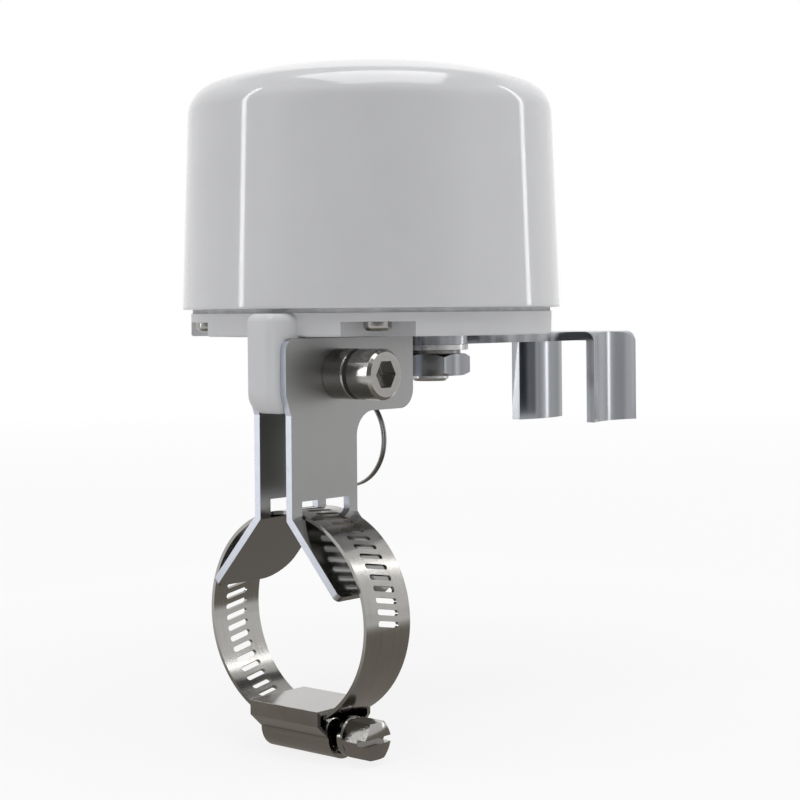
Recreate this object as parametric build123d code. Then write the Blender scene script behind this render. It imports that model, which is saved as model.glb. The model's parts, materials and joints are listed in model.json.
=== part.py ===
from build123d import *
import os
from math import acos, asin, cos, degrees, pi, radians, sin, sqrt, tan

# A clamp-on water valve actuator, in millimetres.
# The origin is the middle of the hose clamp, on the axis of the pipe that it grips.
# X runs along the pipe towards the lever fork, Y across it, Z up to the dome.

# Where the head stands over the pipe
dome_offset_x = 30.0
dome_offset_share = 0.225
rim_height = 60.0

# Fits and overruns
running_gap = 0.05
sliding_gap = 0.2
clear_gap = 0.3
overrun = 1.0
edge_break = 0.3

# Dome cover
dome_radius = 40.0
dome_wall = 2.6
dome_draft = 1.4
dome_height = 51.5
crown_radius_share = 4.2
crown_reach_share = 0.53
brow_radius_share = 1.5
shoulder_radius_share = 0.17
cover_boss_radius = 3.4
cover_boss_height = 10.0

# Base housing, measured down from the dome's rim
rim_step = 1.8
base_depth = 5.5
base_floor = 2.5
pocket_wall = 4.2
flange_thickness = 1.8
gasket_thickness = 0.8
gasket_inset = 0.3
scallop_angles = (-137, -47, 43, 150)
scallop_radius = 7.5
scallop_outset = 1.3
scallop_wall = 2.0
post_radius = 3.4
post_setback = 4.5
post_angles = (-95, -5, 70, 165)

# Lug that the bracket grips
lug_overhang = 5.4
lug_nut_gap = 2.3
lug_drop = 14.7
lug_thickness = 7.0
lug_corner = 4.0
lug_edge_round = 1.6
lug_rise = 4.6
slot_wall = 4.2
slot_height = 6.8
bolt_setback = 17.7
bolt_drop = 7.3

# Cover screws
cover_screw_radius = 1.5
cover_screw_setback = 4.2
cover_screw_length = 8.0
cover_head_radius = 2.75
cover_head_height = 1.8

# Gear train, from the output shaft to the pull rod to the motor
shaft_x_share = 0.21
gear_module_share = 0.02
output_teeth = 35
clutch_teeth = 20
pinion_teeth = 15
rod_angle = 94.9
motor_angle = 150.0
gear_thickness = 4.0
gear_backlash = 0.16
gear_level = 4.0
pressure_angle = 20.0

# Output shaft
journal_radius = 5.0
thread_radius = 4.0
flat_half_width = 3.3
gear_seat_radius = 4.2
upper_journal_radius = 3.0
shaft_shoulder = 1.7
shaft_step = 9.0
shaft_top = 18.5
shaft_end_drop = 10.0
bush_wall = 2.0
bush_flange = 1.0
seal_depth = 1.5
boss_wall = 2.5
gear_hub_radius = 7.0
clip_thickness = 0.8
clip_width = 1.6

# Position cam and limit switches
cam_radius = 6.5
cam_lobe_radius = 8.5
cam_lobe_angle = 40.0
cam_thickness = 3.0
switch_gap = 0.3
switch_length = 12.8
switch_width = 5.8
switch_height = 6.5
switch_lever_thickness = 0.4
switch_lever_stand = 1.3
switch_screw_radius = 0.8

# Pull rod, its spring and its ring
rod_radius = 2.2
rod_drop = 15.0
rod_hole_lift = 2.5
rod_hole_radius = 1.15
rod_flange_radius = 4.0
rod_flange_thickness = 1.1
rod_top = 25.2
rod_bush_wall = 1.3
spring_wire = 0.6
spring_radius = 3.1
spring_turns = 5
spring_top = 23.0
washer_thickness = 0.8
ring_radius = 10.7
ring_wire_radial = 0.5
ring_wire_axial = 0.6
ring_coil_gap = 0.1

# Gear plate, gearbox and motor
plate_level = 12.0
plate_thickness = 1.8
plate_margin = 0.8
gearbox_lip = 0.3
gearbox_length = 13.2
gearbox_offset_share = 0.1
gearbox_nose_radius = 3.5
gearbox_bore_depth = 6.0
gearbox_screw_inset = 2.7
gearbox_screw_radius = 1.25
gearbox_screw_head = 2.2
gearbox_screw_depth = 4.0
motor_radius_share = 0.255
motor_headroom = 10.3
motor_cap_radius = 5.0
motor_cap_height = 1.5
terminal_length = 2.5
pinion_shaft_radius = 2.0
pinion_low = -0.5
pinion_high = 8.5

# Circuit board and what it carries
board_level = 24.0
board_thickness = 1.6
board_margin = 1.2
board_bite = 1.2
standoff_flats = 5.5
stud_radius = 1.25
stud_length = 5.0
board_screw_head = 2.5
board_screw_height = 1.7
module_length_share = 0.45
module_width_share = 0.6375
module_thickness = 0.9
shield_height = 2.3
shield_margin = 1.2
shield_length = 15.0
capacitor_radius_share = 0.1
capacitor_height = 11.5
relay_shares = (0.385, 0.26, 0.275)
driver_size = (9.9, 6.0, 1.7)
header_size = (7.5, 5.8, 6.5)
sounder_radius = 4.5
sounder_height = 5.0

# Status lens and pairing button, both through the far side of the dome
lens_angle = 60.0
lens_radius = 2.0
lens_level = 28.0
lens_margin = 0.6
led_size = 3.0
button_angle = 45.0
button_radius = 3.4
button_level = 29.2
button_setback = 0.8
button_flange_radius = 4.4
button_flange = 1.0
button_travel = 0.5
button_proud = 0.3
key_size = 6.0
key_plunger_radius = 1.6

# Power inlet in the base, behind the arm
inlet_angle = 18.0
inlet_setback = 7.0
inlet_radius = 4.8
inlet_height = 11.0
inlet_bore = 2.85
inlet_bore_depth = 9.0
inlet_pin = 1.05
inlet_pin_recess = 0.6
inlet_nut_flats = 11.0
inlet_nut_thickness = 2.0

# Lever arm and its fork
arm_thickness = 2.0
arm_width = 13.0
arm_hub_radius = 8.5
fork_start = 53.5
fork_width = 17.5
fork_half_span = 11.7
fork_bottom = -26.5
fork_bend = 2.5
fork_sag = 1.8
washer_radius = 8.2
arm_washer_thickness = 1.2
lock_washer_radius = 6.6
nut_flats = 15.0
nut_height = 4.6

# Bracket plates, measured from the pipe's axis
sheet = 1.5
bracket_start = -11.0
bracket_end = 26.8
leg_side_left = 2.85
leg_side_right = 2.45
leg_fillet = 5.0
bracket_corner = 4.0
bracket_top_corner = 2.5
bend_drop = 1.6
foot_angle = 41.2
foot_length = 18.6
foot_corner = 6.0
foot_small_corner = 1.2
band_slot_height = 3.5
band_slot_gap = 0.4

# Bracket bolt
bolt_radius = 3.0
bolt_sleeve_radius = 5.0
bolt_sleeve_length = 5.1
bolt_ring_length = 1.1
bolt_ring_inset = 0.1
bolt_head_length = 6.0
bolt_socket_flats = 5.0
bolt_socket_depth = 3.4
bolt_washer_radius = 6.0
bolt_washer_thickness = 1.6
bolt_nut_flats = 10.0
bolt_nut_height = 5.0
bolt_end_stand = 1.4

# Hose clamp
band_radius = 20.8
band_thickness = 0.7
band_width = 12.7
band_flat = 18.0
band_slot_pitch = 2.25
band_slot_length = 5.8
band_slot_opening = 1.1
band_slot_slant = 10.0
band_slots_from = -145.8
band_slots_to = 92.0
housing_shift = 0.3
housing_wall = 0.9
housing_gap = 0.4
housing_cut_angle = 20.0
worm_radius = 3.5
worm_core_radius = 2.6
worm_gap = 0.15
worm_head_end = -18.0
worm_collar_radius = 3.9
worm_collar_length = 1.4
worm_neck_radius = 2.6
worm_neck_length = 1.2
worm_flats = 7.0
worm_slot_width = 1.2
worm_slot_depth = 2.0

# Places worked out from the values above
dome_offset_y = dome_radius * dome_offset_share
base_radius = dome_radius - rim_step
base_pocket_radius = base_radius - pocket_wall
gasket_radius = base_radius - gasket_inset
scallop_circle = base_radius + scallop_outset
cover_screw_circle = scallop_circle - cover_screw_setback
post_circle = base_pocket_radius - post_setback
plate_radius = base_pocket_radius - plate_margin
board_radius = base_pocket_radius - board_margin
lens_inner = base_pocket_radius - lens_margin
button_inner = lens_inner + button_setback
inlet_circle = base_pocket_radius - inlet_setback
lug_end = -base_radius - lug_overhang
slot_end = lug_end + slot_wall
bolt_x = lug_end + bolt_setback
shaft_x = dome_radius * shaft_x_share
lug_length = shaft_x - nut_flats / 2 - lug_nut_gap - lug_end
slot_length = lug_length - 2 * slot_wall
gear_module = dome_radius * gear_module_share
motor_radius = dome_radius * motor_radius_share
gearbox_radius = motor_radius + gearbox_lip
gearbox_offset = dome_radius * gearbox_offset_share
gearbox_screw_circle = motor_radius - gearbox_screw_inset
plate_gap = lug_thickness
bracket_bottom = rim_height - base_depth - lug_drop - clear_gap
band_slot_width = band_width + 2 * band_slot_gap
leg_start = -band_slot_width / 2 - leg_side_left
leg_end = band_slot_width / 2 + leg_side_right
bend_height = band_radius - bend_drop
housing_back = band_flat / 2 - housing_shift
housing_front = -band_flat / 2 - housing_shift
crown_radius = dome_radius * crown_radius_share
crown_reach = dome_radius * crown_reach_share
brow_radius = dome_radius * brow_radius_share
shoulder_radius = dome_radius * shoulder_radius_share
base_bottom = -base_depth
flange_top = -gasket_thickness
flange_bottom = flange_top - flange_thickness
floor_top = base_bottom + base_floor
shaft_y = -dome_offset_y
mesh_distance = gear_module * (output_teeth + clutch_teeth) / 2
motor_distance = gear_module * (clutch_teeth + pinion_teeth) / 2
rod_x = shaft_x + mesh_distance * cos(radians(rod_angle))
rod_y = shaft_y + mesh_distance * sin(radians(rod_angle))
pinion_x = rod_x + motor_distance * cos(radians(motor_angle))
pinion_y = rod_y + motor_distance * sin(radians(motor_angle))
motor_x = pinion_x + gearbox_offset * cos(radians(motor_angle))
motor_y = pinion_y + gearbox_offset * sin(radians(motor_angle))
plate_top = plate_level + plate_thickness
gearbox_top = plate_top + gearbox_length
motor_top = dome_height - motor_headroom
board_top = board_level + board_thickness
module_length = dome_radius * module_length_share
module_width = dome_radius * module_width_share
capacitor_radius = dome_radius * capacitor_radius_share
relay_size = [dome_radius * share for share in relay_shares]
arm_top = base_bottom - sliding_gap
arm_bottom = arm_top - arm_thickness
lock_washer_top = arm_bottom - arm_washer_thickness
nut_top = lock_washer_top - clip_thickness
nut_bottom = nut_top - nut_height
shaft_bottom = base_bottom - shaft_end_drop
bolt_height = rim_height + base_bottom - bolt_drop
bolt_row_x = dome_offset_x + bolt_x
bracket_top = rim_height + arm_top
plate_face = plate_gap / 2
plate_back = plate_face + sheet
band_flat_level = -sqrt(band_radius**2 - (band_flat / 2) ** 2)
worm_axis = band_flat_level - worm_gap - worm_radius


def disc(radius, low, high, x=0, y=0):
    """An upright cylinder between two heights."""
    return Pos(x, y, (low + high) / 2) * Cylinder(radius, high - low)


def collar(outer, inner, low, high, x=0, y=0):
    """An upright tube between two heights."""
    return disc(outer, low, high, x, y) - disc(inner, low - overrun, high + overrun, x, y)


def block(x0, x1, y0, y1, z0, z1):
    """A box between two corners."""
    return Pos((x0 + x1) / 2, (y0 + y1) / 2, (z0 + z1) / 2) * Box(x1 - x0, y1 - y0, z1 - z0)


def bar_y(radius, start, end, x=0, z=0):
    """A cylinder that lies along Y."""
    return Pos(x, (start + end) / 2, z) * Rot(90, 0, 0) * Cylinder(radius, end - start)


def hexagon(flats, low, high, x=0, y=0, turn=0):
    """An upright hexagonal prism with flats facing Y."""
    corner_radius = flats / 2 / cos(radians(30))
    return Pos(x, y, low) * Rot(0, 0, turn) * extrude(RegularPolygon(corner_radius, 6), high - low)


def hex_nut(flats, low, high, x=0, y=0):
    """A hexagon whose corners are turned off at both faces."""
    lead = (flats / 2 / cos(radians(30)) - flats / 2) * tan(radians(30))
    corner_radius = flats / 2 / cos(radians(30))
    drum = disc(corner_radius, low, high, x, y)
    drum = chamfer(drum.edges().filter_by(GeomType.CIRCLE), lead, lead / tan(radians(30)))
    return hexagon(flats, low, high, x, y) & drum


def on_circle(radius, angles):
    """Points round the dome's axis."""
    return [(radius * cos(radians(a)), radius * sin(radians(a))) for a in angles]


def radial(angle, level):
    """The place whose X axis points out of the dome at an angle and a height."""
    return Rot(0, 0, angle) * Pos(0, 0, level)


def rod_x_axis(radius, start, end):
    """A cylinder along X, used in a radial place."""
    return Pos((start + end) / 2, 0, 0) * Rot(0, 90, 0) * Cylinder(radius, end - start)


# Gears

def involute(angle):
    """The roll of an involute at a pressure angle, in radians."""
    return tan(angle) - angle


def gear(teeth, low, high, bore, turn, x, y):
    """A spur gear with involute flanks, one tooth centred at the turn angle."""
    pitch_radius = gear_module * teeth / 2
    base_circle = pitch_radius * cos(radians(pressure_angle))
    tip = pitch_radius + gear_module * 4 / 5
    root = pitch_radius - gear_module * 23 / 20
    half_pitch_angle = (pi / 2 - gear_backlash / gear_module) / teeth + involute(radians(pressure_angle))
    start = max(root, base_circle)
    flank = []
    flank_steps = 4
    for step in range(flank_steps + 1):
        radius = start + (tip - start) * step / flank_steps
        half = half_pitch_angle - involute(acos(base_circle / radius))
        flank.append((radius, half))
    if root < base_circle:
        flank.insert(0, (root, flank[0][1]))
    points = []
    for tooth in range(teeth):
        centre = radians(turn) + 2 * pi * tooth / teeth
        for radius, half in flank:
            points.append((radius * cos(centre - half), radius * sin(centre - half)))
        for radius, half in reversed(flank):
            points.append((radius * cos(centre + half), radius * sin(centre + half)))
    blank = extrude(make_face(Polyline(*points, close=True)), high - low)
    return Pos(x, y, low) * blank - disc(bore, low - overrun, high + overrun, x, y)


def meshed_turn(teeth, turn, direction, other_teeth):
    """The turn that puts another gear in mesh, in a direction from the first gear."""
    pitch = 360 / teeth
    phase = ((direction - turn) / pitch) % 1
    return direction + 180 + (phase + 1 / 2) * 360 / other_teeth


output_turn = 0.0
clutch_turn = meshed_turn(output_teeth, output_turn, rod_angle, clutch_teeth)
pinion_turn = meshed_turn(clutch_teeth, clutch_turn, motor_angle, pinion_teeth)


# Dome and base

def crown_arcs(inset):
    """The crown's three tangent arcs, shoulder first, each a little inside when inset by the wall."""
    arcs = []
    for centre, radius, first, last in crown_centres():
        reach = radius - inset
        spots = []
        for angle in (first, (first + last) / 2, last):
            spots.append((centre[0] + reach * sin(angle), centre[1] + reach * cos(angle)))
        arcs.append(ThreePointArc(*spots))
    return arcs


def crown_centres():
    """Centre, radius and the two angles from upright of the shoulder, brow and crown arcs."""
    crown_angle = asin(crown_reach / crown_radius)
    shoulder_out = dome_radius - dome_draft
    shoulder_sine = shoulder_out - shoulder_radius - (crown_radius - brow_radius) * sin(crown_angle)
    brow_angle = asin(shoulder_sine / (brow_radius - shoulder_radius))
    crown = (0, dome_height - crown_radius)
    step = crown_radius - brow_radius
    brow = (step * sin(crown_angle), crown[1] + step * cos(crown_angle))
    step = brow_radius - shoulder_radius
    shoulder = (brow[0] + step * sin(brow_angle), brow[1] + step * cos(brow_angle))
    return [
        (shoulder, shoulder_radius, pi / 2, brow_angle),
        (brow, brow_radius, brow_angle, crown_angle),
        (crown, crown_radius, crown_angle, 0),
    ]


def dome_section():
    """Half of the dome's wall: a drafted side under the three arcs of the crown, outside and inside."""
    side_top = crown_centres()[0][0][1]
    shoulder = dome_radius - dome_draft
    lines = [Line((dome_radius, 0), (shoulder, side_top))]
    lines += crown_arcs(0)
    lines.append(Line((0, dome_height), (0, dome_height - dome_wall)))
    lines += crown_arcs(dome_wall)
    lines.append(Line((shoulder - dome_wall, side_top), (dome_radius - dome_wall, 0)))
    lines.append(Line((dome_radius - dome_wall, 0), (dome_radius, 0)))
    return make_face(Plane.XZ * Curve(lines))


def dome_out(level):
    """The dome's outer radius at a height on its drafted side."""
    return dome_radius - dome_draft * level / crown_centres()[0][0][1]


def dome_cover():
    """The white cover: a drafted side under a low crown, with four screw bosses."""
    shell = revolve(dome_section(), Axis.Z)
    limit_radius = dome_radius - dome_draft - dome_wall / 2
    limit = disc(limit_radius, 0, cover_boss_height)
    for x, y in on_circle(cover_screw_circle, scallop_angles):
        shell += disc(cover_boss_radius, 0, cover_boss_height, x, y) & limit
        shell -= disc(cover_screw_radius, -overrun, cover_screw_length, x, y)
    shell -= radial(lens_angle, lens_level) * rod_x_axis(lens_radius, lens_inner, dome_radius + overrun)
    reach = button_radius + clear_gap / 2
    shell -= radial(button_angle, button_level) * rod_x_axis(reach, lens_inner, dome_radius + overrun)
    return shell


def scallops(radius, low, high):
    """The four upright cylinders round the base's edge."""
    return [disc(radius, low, high, x, y) for x, y in on_circle(scallop_circle, scallop_angles)]


def lug_body():
    """The flat lug under the base, with rounded lower corners."""
    top = base_bottom + lug_rise
    low = base_bottom - lug_drop
    corners = [(lug_end, top), (lug_end, low), (lug_end + lug_length, low), (lug_end + lug_length, top)]
    radii = [lug_edge_round, lug_corner, lug_corner, 0]
    face = make_face(Plane.XZ * FilletPolyline(*corners, radius=radii, close=True))
    lug = Pos(0, shaft_y + lug_thickness / 2, 0) * extrude(face, lug_thickness)
    end_edges = lug.edges().filter_by(Axis.Z).group_by(Axis.X)[0]
    return fillet(end_edges, lug_edge_round)


def base_housing():
    """The white base: flange, scalloped rim, pocket, bosses and the slotted lug."""
    body = disc(base_radius, base_bottom, flange_top)
    lug = lug_body()
    body += lug
    pocket = disc(base_pocket_radius, floor_top, overrun)
    for wall in scallops(scallop_radius + scallop_wall, floor_top - overrun, 2 * overrun):
        pocket -= wall
    body -= pocket
    for cut in scallops(scallop_radius, base_bottom - overrun, flange_bottom):
        body -= cut - lug
    for x, y in on_circle(cover_screw_circle, scallop_angles):
        body -= disc(cover_screw_radius + sliding_gap, flange_bottom - overrun, overrun, x, y)
    for x, y in on_circle(post_circle, post_angles):
        body += disc(post_radius, floor_top, plate_level, x, y)
        body -= disc(stud_radius, plate_level - stud_length, plate_level + overrun, x, y)
    bush_radius = journal_radius + running_gap + bush_wall
    bush_boss_top = shaft_shoulder - bush_flange - sliding_gap
    body += disc(bush_radius + boss_wall, floor_top, bush_boss_top, shaft_x, shaft_y)
    body -= disc(bush_radius, base_bottom - overrun, bush_boss_top + overrun, shaft_x, shaft_y)
    rod_hole = rod_radius + running_gap + rod_bush_wall
    body -= disc(rod_hole, base_bottom - overrun, floor_top + overrun, rod_x, rod_y)
    inlet_x, inlet_y = on_circle(inlet_circle, [inlet_angle])[0]
    body -= disc(inlet_radius, base_bottom - overrun, floor_top + overrun, inlet_x, inlet_y)
    body -= lug_slot()
    rim_edges = body.edges().filter_by(GeomType.CIRCLE)
    rim_edges = rim_edges.filter_by(lambda edge: abs(edge.radius - base_radius) < edge_break)
    return chamfer(rim_edges.group_by(Axis.Z)[0], edge_break)


def lug_slot():
    """The long slot that the bracket bolt slides in."""
    low = base_bottom - bolt_drop - slot_height / 2
    high = low + slot_height
    near = shaft_y - lug_thickness
    far = shaft_y + lug_thickness
    end_radius = slot_height / 2
    first = slot_end + end_radius
    last = slot_end + slot_length - end_radius
    middle = (low + high) / 2
    slot = block(first, last, near, far, low, high)
    slot += bar_y(end_radius, near, far, first, middle)
    return slot + bar_y(end_radius, near, far, last, middle)


def rim_gasket():
    """The flat gasket between the flange and the dome, with an ear at each screw."""
    inner = base_pocket_radius + sliding_gap
    gasket = collar(gasket_radius, inner, flange_top, 0)
    for x, y in on_circle(cover_screw_circle, scallop_angles):
        ear = disc(cover_boss_radius + clear_gap, flange_top, 0, x, y) & disc(gasket_radius, flange_top, 0)
        gasket += ear
        gasket -= disc(cover_screw_radius + sliding_gap, flange_top - overrun, overrun, x, y)
    return gasket


def cover_screws():
    """Four pan-head screws that come up through the scallops into the dome's bosses."""
    screws = []
    for x, y in on_circle(cover_screw_circle, scallop_angles):
        head = disc(cover_head_radius, flange_bottom - cover_head_height, flange_bottom, x, y)
        head = fillet(head.edges().group_by(Axis.Z)[0], cover_head_height / 2)
        bit = hexagon(cover_screw_radius, flange_bottom - cover_head_height - overrun,
                      flange_bottom - cover_head_height / 2, x, y)
        shank = disc(cover_screw_radius, flange_bottom, cover_screw_length - overrun, x, y)
        screws.append(head - bit + shank)
    return Compound(screws)


# Output shaft and arm

def shaft_bush():
    """The flanged plain bearing that carries the output shaft in the base."""
    inner = journal_radius + running_gap
    outer = inner + bush_wall
    top = shaft_shoulder - sliding_gap
    sleeve = collar(outer, inner, base_bottom + seal_depth, top, shaft_x, shaft_y)
    return sleeve + collar(outer + bush_flange, inner, top - bush_flange, top, shaft_x, shaft_y)


def shaft_seal():
    """The rubber seal round the shaft, at the bottom of its hole."""
    inner = journal_radius + running_gap
    return collar(inner + bush_wall, inner, base_bottom, base_bottom + seal_depth, shaft_x, shaft_y)


def double_flat(radius, half_width, low, high):
    """A round bar with a flat on two sides."""
    bar = disc(radius, low, high, shaft_x, shaft_y)
    flats = block(shaft_x - radius, shaft_x + radius, shaft_y - half_width, shaft_y + half_width, low, high)
    return bar & flats


def output_shaft():
    """The stepped steel shaft: threaded end, flats, journal, gear seat and top journal."""
    thread = disc(thread_radius, shaft_bottom, lock_washer_top, shaft_x, shaft_y)
    thread = chamfer(thread.edges().group_by(Axis.Z)[0], edge_break * 2)
    drive = double_flat(thread_radius, flat_half_width, lock_washer_top, arm_top)
    journal = disc(journal_radius, arm_top, shaft_shoulder, shaft_x, shaft_y)
    seat = disc(gear_seat_radius, shaft_shoulder, shaft_step, shaft_x, shaft_y)
    upper_journal = disc(upper_journal_radius, shaft_step, shaft_top, shaft_x, shaft_y)
    return thread + drive + journal + seat + upper_journal


def output_gear():
    """The large gear on the output shaft, with a hub below it."""
    wheel = gear(output_teeth, gear_level, gear_level + gear_thickness, gear_seat_radius,
                 output_turn, shaft_x, shaft_y)
    return wheel + collar(gear_hub_radius, gear_seat_radius, shaft_shoulder, gear_level, shaft_x, shaft_y)


def snap_ring(shaft_radius, low, x, y):
    """An open retaining ring on a shaft."""
    outer = shaft_radius + clip_width
    ring = collar(outer, shaft_radius, low, low + clip_thickness, x, y)
    gap = shaft_radius / 2
    near = y + shaft_radius / 2
    return ring - block(x - gap, x + gap, near, y + outer + overrun, low - overrun, low + 2 * overrun)


def gear_clip():
    """The retaining ring that keeps the output gear on its shaft."""
    return snap_ring(gear_seat_radius, gear_level + gear_thickness, shaft_x, shaft_y)


def upper_bush():
    """The small flanged bearing in the gear plate, round the top of the shaft."""
    inner = upper_journal_radius + running_gap
    outer = inner + rod_bush_wall
    sleeve = collar(outer, inner, plate_level, plate_top, shaft_x, shaft_y)
    flange_top_level = plate_top + clip_thickness
    return sleeve + collar(outer + bush_flange, inner, plate_top, flange_top_level, shaft_x, shaft_y)


def position_cam():
    """The cam on top of the shaft, with one lobe that works the limit switches."""
    low = plate_top + 2 * clip_thickness
    high = low + cam_thickness
    half = radians(cam_lobe_angle / 2)
    lobe = disc(cam_lobe_radius, low, high)
    reach = 2 * cam_lobe_radius
    wedge_points = [(0, 0), (-reach, reach * tan(half)), (-reach, -reach * tan(half))]
    wedge = Pos(0, 0, low) * extrude(make_face(Polyline(*wedge_points, close=True)), cam_thickness)
    cam = disc(cam_radius, low, high) + (lobe & wedge)
    cam -= disc(upper_journal_radius, low - overrun, high + overrun)
    return Pos(shaft_x, shaft_y, 0) * cam


def limit_switch():
    """One micro switch with its lever, standing on the gear plate beside the cam, on its -X side."""
    near = -(cam_lobe_radius + switch_gap)
    face = near - switch_lever_stand - switch_lever_thickness
    half = switch_length / 2
    case = block(face - switch_width, face, -half, half, plate_top, plate_top + switch_height)
    case = chamfer(case.edges().group_by(Axis.Z)[-1], edge_break)
    for side in (-1, 1):
        case_top = plate_top + switch_height + overrun
        hole = disc(switch_screw_radius, plate_top - overrun, case_top, face - switch_width / 2)
        case -= Pos(0, side * half / 2, 0) * hole
    lever_low = plate_top + 2 * clip_thickness
    lever = block(near - switch_lever_thickness, near, -half, half, lever_low, lever_low + cam_thickness)
    foot = block(face, near, -half, -half + switch_lever_stand, lever_low, lever_low + cam_thickness)
    return case + lever + foot


def limit_switches():
    """Two switches, a quarter turn apart, for valve open and valve closed."""
    place = Pos(shaft_x, shaft_y, 0)
    return Compound([place * limit_switch(), place * Rot(0, 0, -90) * limit_switch()])


def switch_screws():
    """The four small screws that hold the limit switches to the gear plate."""
    near = -(cam_lobe_radius + switch_gap)
    middle = near - switch_lever_stand - switch_lever_thickness - switch_width / 2
    top = plate_top + switch_height
    screws = []
    for turn in (0, -90):
        for side in (-1, 1):
            across = side * switch_length / 4
            shank = disc(switch_screw_radius, plate_level, top, middle, across)
            head = disc(2 * switch_screw_radius, top, top + switch_screw_radius, middle, across)
            screws.append(Pos(shaft_x, shaft_y, 0) * Rot(0, 0, turn) * (shank + head))
    return Compound(screws)


def lever_arm():
    """The steel arm: hub, strip and a fork whose two fingers are hollow outside."""
    hub = disc(arm_hub_radius, arm_bottom, arm_top, shaft_x, shaft_y)
    half = arm_width / 2
    strip = block(shaft_x, fork_start + arm_thickness, shaft_y - half, shaft_y + half, arm_bottom, arm_top)
    fork_end = fork_start + fork_width
    span = fork_half_span
    envelope = block(fork_start, fork_end, shaft_y - span, shaft_y + span, fork_bottom, arm_top)
    top_edges = envelope.edges().filter_by(Axis.X).group_by(Axis.Z)[-1]
    envelope = fillet(top_edges, fork_bend)
    hollow_radius = (fork_width**2 / 4 + fork_sag**2) / (2 * fork_sag)
    middle = (fork_start + fork_end) / 2
    inner_half = fork_half_span - arm_thickness
    void = block(fork_start - overrun, fork_end + overrun, shaft_y - inner_half, shaft_y + inner_half,
                 fork_bottom - overrun, arm_bottom)
    void = fillet(void.edges().filter_by(Axis.X).group_by(Axis.Z)[-1], fork_bend - arm_thickness)
    for side in (-1, 1):
        centre = shaft_y + side * (fork_half_span - fork_sag + hollow_radius)
        envelope -= disc(hollow_radius, fork_bottom - overrun, arm_top + overrun, middle, centre)
        void -= disc(hollow_radius + arm_thickness, fork_bottom - 2 * overrun, arm_top, middle, centre)
    fork = envelope - void
    arm = hub + strip + fork
    hole = double_flat(thread_radius, flat_half_width, arm_bottom - overrun, arm_top + overrun)
    return arm - hole


def arm_washer():
    """The plain washer under the arm."""
    return collar(washer_radius, thread_radius, lock_washer_top, arm_bottom, shaft_x, shaft_y)


def lock_washer():
    """The split spring washer above the nut."""
    ring = collar(lock_washer_radius, thread_radius, nut_top, lock_washer_top, shaft_x, shaft_y)
    slit = block(shaft_x, shaft_x + 2 * lock_washer_radius, shaft_y - clip_thickness / 2,
                 shaft_y + clip_thickness / 2, nut_top - overrun, lock_washer_top + overrun)
    return ring - slit


def arm_nut():
    """The hexagon nut that holds the arm on its shaft."""
    nut = hex_nut(nut_flats, nut_bottom, nut_top, shaft_x, shaft_y)
    return nut - disc(thread_radius, nut_bottom - overrun, nut_top + overrun, shaft_x, shaft_y)


# Pull rod

def clutch_gear():
    """The middle gear, which the pull rod draws down out of mesh with the output gear."""
    return gear(clutch_teeth, gear_level, gear_level + gear_thickness, rod_radius + running_gap,
                clutch_turn, rod_x, rod_y)


def clutch_rod():
    """The sliding rod with a flange under the gear and a cross hole for its ring."""
    bottom = base_bottom - rod_drop
    rod = disc(rod_radius, bottom, rod_top, rod_x, rod_y)
    rod = chamfer(rod.edges().group_by(Axis.Z)[0], edge_break)
    flange_high = gear_level - sliding_gap / 2
    rod += disc(rod_flange_radius, flange_high - rod_flange_thickness, flange_high, rod_x, rod_y)
    level = bottom + rod_hole_lift
    hole = bar_y(rod_hole_radius, rod_y - 2 * rod_radius, rod_y + 2 * rod_radius, rod_x, level)
    return rod - hole


def rod_bushes():
    """The rod's two guides: one in the base floor, one in the gear plate."""
    inner = rod_radius + running_gap
    outer = inner + rod_bush_wall
    low = collar(outer, inner, base_bottom, floor_top + clip_thickness, rod_x, rod_y)
    high = collar(outer, inner, plate_level, plate_top, rod_x, rod_y)
    high += collar(outer + bush_flange, inner, plate_top, plate_top + washer_thickness, rod_x, rod_y)
    return Compound([low, high])


def clutch_spring():
    """The coil spring that lifts the rod again: one wire along a helix."""
    low = plate_top + washer_thickness + spring_wire / 2
    height = spring_top - spring_wire / 2 - low
    pitch = height / spring_turns
    path = Helix(pitch, height, spring_radius)
    wire = sweep(Plane(path @ 0, z_dir=path % 0) * Circle(spring_wire / 2), path, is_frenet=True)
    print("clutch_spring gap between turns", round(pitch - spring_wire, 3))
    return Pos(rod_x, rod_y, low) * wire


def spring_washer():
    """The washer on top of the spring."""
    outer = rod_flange_radius + edge_break
    return collar(outer, rod_radius, spring_top, spring_top + washer_thickness, rod_x, rod_y)


def rod_clips():
    """The retaining rings above the gear and above the spring washer."""
    gear_high = gear_level + gear_thickness + sliding_gap / 2
    lower = snap_ring(rod_radius, gear_high, rod_x, rod_y)
    return Compound([lower, snap_ring(rod_radius, spring_top + washer_thickness, rod_x, rod_y)])


def pull_ring():
    """The split ring: one flat wire wound twice through the rod's hole."""
    outer = ring_radius
    inner = ring_radius - ring_wire_radial
    centre_z = base_bottom - rod_drop + rod_hole_lift - (outer + inner) / 2
    offset = (ring_wire_axial + ring_coil_gap) / 2
    place = Pos(rod_x, rod_y, centre_z) * Rot(0, 90, 0)
    coils = collar(outer, inner, -offset - ring_wire_axial / 2, -offset + ring_wire_axial / 2)
    coils += collar(outer, inner, offset - ring_wire_axial / 2, offset + ring_wire_axial / 2)
    joggle = collar(outer, inner, -offset, offset)
    wedge = block(0, ring_radius + overrun, -ring_wire_axial, ring_wire_axial, -overrun, overrun)
    return place * (coils + (joggle & wedge))


# Motor, plate and board

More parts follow.
